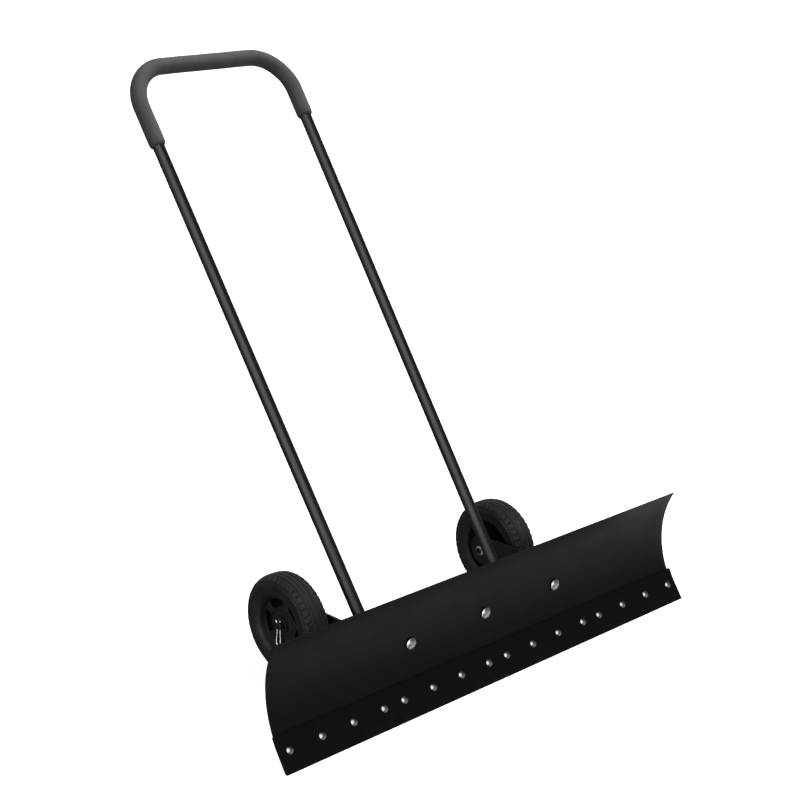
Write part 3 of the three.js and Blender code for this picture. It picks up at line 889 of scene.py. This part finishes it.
def handle_path(legs, step):
    """Centre line of the U, from that far down its left leg to that far down its right leg."""
    centre = BEND_START + INWARD * BEND_RADIUS
    halves = []
    for leg in legs:
        count = max(int(leg / step), 1)
        half = [BEND_START - UP * leg * (1 - k / count) for k in range(count)]
        for k in range(BEND_STEPS + 1):
            angle = BEND_TURN * k / BEND_STEPS
            half.append(centre - INWARD * BEND_RADIUS * cos(angle) + UP * BEND_RADIUS * sin(angle))
        last = half[-1].copy()
        count = max(int(abs(last.x) / step), 1)
        half += [Vector((last.x * (1 - k / count), last.y, last.z)) for k in range(1, count + 1)]
        halves.append(half)
    left, right = halves
    return left + [Vector((-p.x, p.y, p.z)) for p in reversed(right[:-1])]


def build_tube():
    leg = (BEND_START - leg_point(-1, LEG_BOTTOM)).length
    path = handle_path((leg, leg), 0.05)
    places = frames_along(path)
    inner = TUBE_RADIUS - TUBE_WALL
    rings = []

    def mouth(place, inwards):
        point, side, other = place
        deep = (point + inwards * TUBE_MOUTH, side, other)
        return [circle(deep, inner, 48), circle(place, inner, 48)]

    rings.extend(mouth(places[0], leg_direction(-1)))
    rings.extend(circle(place, TUBE_RADIUS, 48) for place in places)
    rings.extend(reversed(mouth(places[-1], leg_direction(1))))
    put("handle_u_tube", solid(loft(rings), 50), PAINT, ["handle_tube"])


def build_grip():
    """Foam sleeve with rounded ends, puckered a little on the inside of its bends."""
    path = handle_path(GRIP_LEGS, 0.003)
    lengths = lengths_along(path)
    sides = 56
    inner_radius = TUBE_RADIUS + 0.0002
    outer = []
    inner = []
    centres = [BEND_START + INWARD * BEND_RADIUS]
    centres.append(Vector((-centres[0].x, centres[0].y, centres[0].z)))
    for i, (point, side, other) in enumerate(frames_along(path)):
        near = min(lengths[i], lengths[-1] - lengths[i])
        blunt = 1.0
        if near < GRIP_END_ROUND:
            blunt = sqrt(1 - (1 - near / GRIP_END_ROUND) ** 2)
        centre = min(centres, key=lambda c: (c - point).length)
        away = centre - point
        in_bend = max(0.0, 1 - abs(away.length - BEND_RADIUS) / 0.004)
        ring = []
        for k in range(sides):
            angle = 2 * pi * k / sides
            out = side * cos(angle) + other * sin(angle)
            inside = max(0.0, out.dot(away.normalized()))
            wave = sin(2 * pi * lengths[i] / PUCKER_PITCH)
            pucker = PUCKER_DEPTH * in_bend * inside ** 2 * wave
            swell = SWELL_DEPTH * sin(lengths[i] * 61) * sin(lengths[i] * 23 + 2 * cos(angle))
            full = GRIP_RADIUS - GRIP_MARGIN + pucker + swell
            ring.append(point + out * (inner_radius + (full - inner_radius) * blunt))
        outer.append(ring)
        inner.append(circle((point, side, other), TUBE_RADIUS + 0.0001, sides))
    sleeve = solid(loft(outer + inner[::-1], joined=True), 60)
    grip = put("foam_grip", sleeve, FOAM, ["handle_grip"])


def build_sockets():
    middle_height = (SOCKET_BOTTOM + SOCKET_TOP) / 2
    cross_low, cross_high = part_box("crossbar")
    for name, sign in SIDES.items():
        direction = leg_direction(sign)
        reach = (SOCKET_TOP - SOCKET_BOTTOM) / 2 / direction.z
        inner = TUBE_RADIUS + 0.0002
        corners = ring_corners(inner, SOCKET_RADIUS, -reach, reach, 0.0004, 0.0009)
        sleeve = turned(rounded(corners), 56)
        place = axis_matrix(leg_point(sign, middle_height), direction)
        put(f"{name}_socket_sleeve", solid(sleeve), PAINT, [f"{name}_socket"], place)
        build_socket_weld(name, sign, cross_low, cross_high)

        outwards = Vector((sign, 0, 0))
        seat = leg_point(sign, SOCKET_BOLT_HEIGHT) + outwards * (SOCKET_RADIUS + GAP)
        head = merge(
            washer(M8["shank"] + WASHER_PLAY, 0.0080, -0.0002, 0.0012),
            hex_body(M8["flats"], 0.0012, M8["nut"], 0, (False, True)),
        )
        put(f"{name}_socket_bolt_head", solid(head), ZINC,
            [f"{name}_socket_bolt"], axis_matrix(seat, outwards))
        far = leg_point(sign, SOCKET_BOLT_HEIGHT) - outwards * (SOCKET_RADIUS + GAP)
        end = thread(M8["shank"], -0.001, M8["nut"] + THREAD_PAST_NUT, M8["pitch"])
        tail = merge(locking_nut(M8, 0), end)
        put(f"{name}_socket_nut_set", solid(tail), ZINC,
            [f"{name}_socket_nut"], axis_matrix(far, -outwards))


def build_socket_weld(name, sign, low, high):
    """Beads on both sides of a socket, where it lies in the back of the crossbar."""
    beads = []
    for side in (-1, 1):
        path = []
        for k in range(9):
            height = low.z + 0.003 + (high.z - low.z - 0.006) * k / 8
            x = leg_point(sign, height).x + side * SOCKET_WELD_SPREAD
            path.append(Vector((x, high.y - 0.0002, height)))
        beads.append(bead(path))
    put(f"{name}_socket_welds", solid(merge(*beads)), PAINT)


# ---- Wheels ----


def wheel_point(name, radius, angle, across):
    """Point on a wheel: angle from +Y towards +Z, across outwards from the tyre's middle."""
    axle = AXLES[name]
    x = SIDES[name] * (WHEEL_MIDDLE + across)
    return Vector((x, axle.y + radius * cos(angle), axle.z + radius * sin(angle)))


def wheel_turned(name, profile, segments=96):
    """Round piece about a wheel's axle, from a closed profile of (radius, across)."""
    return turned(profile, segments, lambda r, angle, a: wheel_point(name, r, angle, a))


def wheel_reach(node):
    """How far out from the middle of its wheel a CAD node starts and ends."""
    return sorted(abs(corner.x) - WHEEL_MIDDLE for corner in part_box(node))


def pocket_angle(name, index):
    """Middle of one of the hub's pockets."""
    turn = HUB_TURN + 2 * pi * index / SPOKES
    return -turn if name == "left" else turn + pi


def gauss(x, middle, width):
    return exp(-(((x - middle) / width) ** 2))


NOTCHES = 44
NOTCH_SAMPLES = 8
NOTCH_CUT = (3, 4)
NOTCH_DEPTH = 0.0024
GROOVES = (0.0055, 0.0155)
GROOVE_DEPTH = 0.0020
GROOVE_WIDTH = 0.0011

# Rings on the outer side of the tyre: radius, half width and height
SIDE_RINGS = ((0.0665, 0.0016, 0.0010), (0.0715, 0.0011, 0.0005), (0.0895, 0.0013, -0.0013))


def tyre_section():
    """Closed section of the tyre: (radius, across, depth of the shoulder notches there)."""
    half = [
        (TYRE_BORE, TYRE_HALF - 0.0085),
        (TYRE_BORE + 0.0035, TYRE_HALF - 0.0045),
        (TYRE_BORE + 0.009, TYRE_HALF - 0.0022),
        (0.80 * WHEEL_RADIUS, TYRE_HALF - 0.0006),
        (0.88 * WHEEL_RADIUS, TYRE_HALF - 0.0018),
        (0.94 * WHEEL_RADIUS, TYRE_HALF - 0.0055),
        (0.978 * WHEEL_RADIUS, TYRE_HALF - 0.0115),
        (0.996 * WHEEL_RADIUS, TYRE_HALF - 0.0190),
        (WHEEL_RADIUS, 0),
    ]
    curve = smooth_curve(half, 14)
    section = []
    for i, point in enumerate(curve):
        before = curve[max(i - 1, 0)]
        after = curve[min(i + 1, len(curve) - 1)]
        along = (after - before).normalized()
        out = Vector((-along.y, along.x))
        r, a = point
        clear_of_painted_shade = 0.0
        if a > 0.02:
            clear_of_painted_shade = sum(height * gauss(r, middle, width) for middle, width, height in SIDE_RINGS)
        if r > 0.095:
            clear_of_painted_shade -= sum(GROOVE_DEPTH * gauss(a, middle, GROOVE_WIDTH) for middle in GROOVES)
        rise = min(max((r - 0.0915) / 0.004, 0), 1)
        notch = NOTCH_DEPTH * rise * min(max((a - 0.0165) / 0.002, 0), 1)
        section.append((r + out.x * clear_of_painted_shade, a + out.y * clear_of_painted_shade, notch))
    mirrored = [(r, -a, notch) for r, a, notch in reversed(section[:-1])]
    return section + mirrored


def build_tyre(name):
    """Tyre whose two shoulders have notches half a step apart."""
    section = tyre_section()
    count = NOTCHES * NOTCH_SAMPLES
    rings = []
    for k in range(count):
        outer_cut = k % NOTCH_SAMPLES in NOTCH_CUT
        inner_cut = (k + NOTCH_SAMPLES // 2) % NOTCH_SAMPLES in NOTCH_CUT
        angle = 2 * pi * k / count
        ring = []
        for r, a, depth in section:
            cut = outer_cut if a > 0 else inner_cut
            ring.append(wheel_point(name, r - depth * cut, angle, a))
        rings.append(ring)
    shape = loft(rings, joined=True)
    put(f"{name}_tyre_tread", solid(shape, 38), TYRE, [f"{name}_tyre"], body=f"{name}_wheel")


def build_hub(name):
    """Five-spoke hub with a closed web in its middle and deep pockets on both sides of it."""
    boss_back = wheel_reach(f"{name}_hub")[0]
    rim = [
        (HUB_RIM, -RIM_HALF, 0.001),
        (HUB_RIM, RIM_HALF, 0.001),
        (HUB_RIM - 0.0026, RIM_HALF, 0.0012),
        (POCKET_OUTER + 0.0014, SPOKE_FRONT + 0.001, 0.003),
        (POCKET_OUTER, SPOKE_FRONT - 0.0005, 0.001),
        (POCKET_OUTER, FLOOR_HALF - 0.0005, 0),
        (POCKET_OUTER, -FLOOR_HALF + 0.0005, 0),
        (POCKET_OUTER, SPOKE_BACK + 0.0005, 0.001),
        (POCKET_OUTER + 0.0014, SPOKE_BACK - 0.001, 0.003),
        (HUB_RIM - 0.0026, -RIM_HALF, 0.0012),
    ]
    boss = [
        (BORE_RADIUS, boss_back, 0.0005),
        (BOSS_RADIUS - 0.001, boss_back, 0.0012),
        (BOSS_RADIUS, SPOKE_BACK, 0.002),
        (POCKET_INNER, SPOKE_BACK, 0.0014),
        (POCKET_INNER, -FLOOR_HALF, 0),
        (POCKET_INNER, FLOOR_HALF, 0),
        (POCKET_INNER, SPOKE_FRONT - 0.0012, 0.0014),
        (BOSS_RADIUS + 0.004, SPOKE_FRONT - 0.0012, 0.0015),
        (BOSS_RADIUS + 0.0025, SPOKE_FRONT, 0.001),
        (BORE_RADIUS, SPOKE_FRONT, 0.0005),
    ]
    web = ring_corners(POCKET_INNER - 0.001, POCKET_OUTER + 0.001, -FLOOR_HALF, FLOOR_HALF)
    parts = [wheel_turned(name, rounded(profile, 5)) for profile in (rim, boss, web)]
    for index in range(SPOKES):
        middle = pocket_angle(name, index) + pi / SPOKES
        parts.append(spoke(name, middle, FLOOR_HALF - 0.0005, SPOKE_FRONT, 0.0002))
        parts.append(spoke(name, middle, -FLOOR_HALF + 0.0005, SPOKE_BACK, 0))
    hub = solid(merge(*parts), 40)
    put(f"{name}_hub_wheel", hub, PLASTIC, [f"{name}_hub"], body=f"{name}_wheel")


def spoke(name, middle, root, face, crown):
    """Spoke from the web to the hub's face, flaring into the boss and the rim.

    The crown is the height of a raised band along its middle.
    """
    sign = 1 if face > root else -1
    inner, outer = POCKET_INNER - 0.002, POCKET_OUTER + 0.0012
    steps = 20
    rings = []
    for k in range(steps + 1):
        r = inner + (outer - inner) * k / steps
        flare = 0.0042 * max(0.0, 1 - (r - inner - 0.002) / 0.006) ** 2
        flare += 0.0042 * max(0.0, 1 - (outer - 0.0012 - r) / 0.006) ** 2
        w = r * sin(SPOKE_HALF_ANGLE) + flare
        low = face - sign * 0.0016
        half = [
            (w + 0.0006, root, 0),
            (w, low, 0.0014),
            (0.60 * w, low + sign * 0.0004, 0.0008),
            (0.46 * w, face - sign * (0.0002 - crown), 0.0009),
        ]
        other = [(-u, v, radius) for u, v, radius in reversed(half)]
        section = rounded([other[-1], *half, *other[:-1]], 3)
        rings.append([
            wheel_point(name, hypot(r, p.x), middle + atan2(p.x, r), p.y) for p in section
        ])
    return loft(rings)


def build_bushes(name):
    """Flanged bushes: each flange bears on the end of the boss."""
    for end, inwards in (("inner", 1), ("outer", -1)):
        node = f"{name}_{end}_bush"
        face, tip = wheel_reach(node)[::inwards]
        flange = face + inwards * FLANGE_THICKNESS
        bore = AXLE_RADIUS + BUSH_PLAY
        outer = BORE_RADIUS - 0.0001
        corners = [
            (bore, face, 0.0005),
            (FLANGE_RADIUS, face, 0.0006),
            (FLANGE_RADIUS, flange, 0.0004),
            (outer, flange, 0),
            (outer, tip, 0.0006),
            (bore, tip, 0.0003),
        ]
        shape = wheel_turned(name, rounded(corners), 64)
        put(f"{name}_{end}_bush_ring", solid(shape), NYLON, [node], body=f"{name}_wheel")


def build_axle(name):
    """Stub axle, with a collar between the arm and the wheel's inner bush."""
    start, end = wheel_reach(f"{name}_axle")
    collar_in = wheel_reach(f"{name}_arm")[1] + GAP
    collar_out = wheel_reach(f"{name}_inner_bush")[0] - GAP
    corners = [
        (0, start, 0),
        (M12["shank"] - 0.0008, start, 0),
        (M12["shank"], start + 0.0008, 0),
        (M12["shank"], collar_in, 0),
        (COLLAR_RADIUS, collar_in, 0.0004),
        (COLLAR_RADIUS, collar_out, 0.0005),
        (AXLE_RADIUS, collar_out, 0),
        (AXLE_RADIUS, end, 0.0016),
        (0, end, 0),
    ]
    shape = wheel_turned(name, rounded(corners, 5), 64)
    put(f"{name}_stub_axle", solid(shape), DARK_STEEL, [f"{name}_axle"])


def build_axle_nut(name):
    """Nut on the inner end of the stub axle, against the arm."""
    inner, outer = sorted(abs(corner.x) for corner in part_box(f"{name}_axle_nut"))
    place = axis_matrix((SIDES[name] * outer, *AXLES[name].yz), (-SIDES[name], 0, 0))
    height = outer - inner
    nut = merge(
        hex_body(M12["flats"], 0, height, M12["shank"]),
        thread(M12["shank"] - 0.0001, 0, height + THREAD_PAST_NUT, M12["pitch"]),
    )
    put(f"{name}_axle_nut_set", solid(nut), ZINC, [f"{name}_axle_nut"], place)


def build_axle_washer(name):
    """Washer between the outer bush and the clip."""
    reach = wheel_reach(f"{name}_washer")
    corners = ring_corners(AXLE_RADIUS + 0.0002, AXLE_WASHER_RADIUS, *reach, 0.0003, 0.0005)
    shape = wheel_turned(name, rounded(corners, 3), 64)
    put(f"{name}_washer_ring", solid(shape), DARK_STEEL, [f"{name}_washer"])


def build_clip(name):
    """Hairpin clip: one leg goes through the axle's cross hole and the other grips its side."""
    side = AXLE_RADIUS + WIRE_RADIUS + GAP
    route = [
        (0, 0.0096), (0, 0), (0, -0.017), (0, -0.035), (0.0018, -0.0423), (0.0068, -0.045),
        (0.0116, -0.0415), (0.0118, -0.032), (0.009, -0.016), (side, -0.003), (side, 0.003),
        (0.013, 0.008),
    ]
    low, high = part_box(f"{name}_clip")
    x = (low.x + high.x) / 2
    axle = AXLES[name]
    path = [Vector((x, axle.y + p.x, axle.z + p.y)) for p in smooth_curve(route, 10)]

    def radius(i):
        tip = min(i, len(path) - 1 - i)
        return WIRE_RADIUS * {0: 0.55, 1: 0.85}.get(tip, 1)

    put(f"{name}_hairpin_clip", solid(bar(path, radius, 14), 50), ZINC, [f"{name}_clip"])


# ---- Floor, light and camera ----

CAMERA_PLACE = (-2.1873, -2.5174, 1.5195)
CAMERA_YAW = radians(42.87)
CAMERA_PITCH = radians(17.63)
CAMERA_LENS = 76.37
FLOOR_RADIUS = 40
COVE_BEND = 20
COVE_WALL = 80
FLOOR_HEIGHT = -0.0004
FLOOR_GLOW = 0.86
WALL_GLOW = 1.3
SKY_LEVEL = 0.10
HORIZON_LEVEL = 0.75
GROUND_DIRECTION = (0.62, -0.25, -0.74)
GROUND_DARK = 0.05
GROUND_PALE = 0.60
FLAG_DIRECTION = (0.9, -0.43, 0)
FLAG_LEVEL = 0.25
FILL_POWER = 0.6
KEY_POWER = 5.4
SCREEN_POWER = 2.6
LOW_SCREEN_POWER = 0.9


def build_stage():
    """White floor that curves up into a far round wall. Only the camera sees it.

    It lights nothing: what the object reflects is set in the surroundings.
    """
    rings = []
    for k in range(13):
        angle = pi / 2 * k / 12
        middle = Vector((0, 0, FLOOR_HEIGHT + COVE_BEND * (1 - cos(angle))))
        place = (middle, Vector((1, 0, 0)), Vector((0, 1, 0)))
        rings.append(circle(place, FLOOR_RADIUS + COVE_BEND * sin(angle), 96))
    rings.append([point + Vector((0, 0, COVE_WALL)) for point in rings[-1]])
    points, faces = loft(rings)
    mesh = bpy.data.meshes.new("floor")
    mesh.from_pydata([tuple(point) for point in points], [], faces[:-1])
    mesh.shade_smooth()
    floor = add_object("floor", mesh)
    floor.visible_diffuse = False
    floor.visible_glossy = False
    floor.visible_shadow = False
    pale = Finish("pale_floor", "", specular=0.0)
    pale.shader.inputs["Base Color"].default_value = (0.6, 0.6, 0.6, 1)
    pale.shader.inputs["Roughness"].default_value = 0.9
    pale.shader.inputs["Emission Color"].default_value = (1, 1, 1, 1)
    glow = pale.ranged(pale.part("Z"), 0, COVE_BEND / 8, FLOOR_GLOW, WALL_GLOW)
    pale.link(glow, pale.shader.inputs["Emission Strength"])
    mesh.materials.append(pale.material)


def build_world():
    """Studio surroundings: pale horizon with a dimmer side, dim sky and a patch of pale ground."""
    world = bpy.data.worlds.new("studio")
    world.use_nodes = True
    tree = world.node_tree
    shade = tree.nodes["Background"]
    direction = tree.nodes.new("ShaderNodeTexCoord").outputs["Generated"]

    def towards(axis):
        """How far a direction points along an axis, from -1 to 1."""
        node = tree.nodes.new("ShaderNodeVectorMath")
        node.operation = "DOT_PRODUCT"
        tree.links.new(direction, node.inputs[0])
        node.inputs[1].default_value = Vector(axis).normalized()
        return node.outputs["Value"]

    height = towards((0, 0, 1))
    above = smooth_range(tree, height, 0.18, 0.36, HORIZON_LEVEL, 0.0)
    below = smooth_range(tree, height, -0.12, -0.04, 0.0, 1.0)
    horizon = math_node(tree, "MULTIPLY", above, below)
    flag = smooth_range(tree, towards(FLAG_DIRECTION), 0.2, 0.8, 1.0, FLAG_LEVEL)
    dimmed = math_node(tree, "MULTIPLY", horizon, flag)
    patch = smooth_range(tree, towards(GROUND_DIRECTION), 0.40, 0.92, GROUND_DARK, GROUND_PALE)
    low_down = smooth_range(tree, height, -0.12, -0.04, 1.0, 0.0)
    ground = math_node(tree, "MULTIPLY", patch, low_down)
    sky = smooth_range(tree, height, -0.05, 0.05, 0.0, SKY_LEVEL)
    rest = math_node(tree, "ADD", ground, sky)
    level = math_node(tree, "MAXIMUM", dimmed, rest)
    shade.inputs["Color"].default_value = (1, 1, 1, 1)
    tree.links.new(level, shade.inputs["Strength"])
    bpy.context.scene.world = world


def sun_light(name, towards, power, spread, diffuse=True, glossy=True):
    """Soft distant light from a direction. It can be left out of diffuse light or reflections."""
    lamp = bpy.data.lights.new(name, "SUN")
    lamp.energy = power
    lamp.angle = radians(spread)
    light = add_object(name, lamp)
    light.rotation_euler = Vector(towards).to_track_quat("Z", "Y").to_euler()
    light.visible_diffuse = diffuse
    light.visible_glossy = glossy


def build_lights():
    sun_light("overhead_fill", (0.3, -0.1, 1), FILL_POWER, 150, glossy=False)
    sun_light("key", (0.6, -0.1, 0.8), KEY_POWER, 50, glossy=False)
    sun_light("left_screen", (-0.64, -0.50, 0.58), SCREEN_POWER, 76, diffuse=False)
    sun_light("low_screen", (-0.86, -0.38, -0.33), LOW_SCREEN_POWER, 60, diffuse=False)


def build_camera():
    camera_data = bpy.data.cameras.new("camera")
    camera_data.lens = CAMERA_LENS
    camera_data.sensor_width = 36
    camera_data.clip_end = 200
    camera = add_object("camera", camera_data)
    camera.location = CAMERA_PLACE
    camera.rotation_euler = (pi / 2 - CAMERA_PITCH, 0, -CAMERA_YAW)
    scene = bpy.context.scene
    scene.camera = camera
    scene.view_settings.view_transform = "Standard"


build_camera()
build_world()
build_lights()
build_stage()
build_blade()
build_strips()
build_strip_bolts()
build_frame()
build_beam_bolts()
build_tube()
build_grip()
build_sockets()
for wheel in SIDES:
    build_tyre(wheel)
    build_hub(wheel)
    build_bushes(wheel)
    build_axle(wheel)
    build_axle_nut(wheel)
    build_axle_washer(wheel)
    build_clip(wheel)
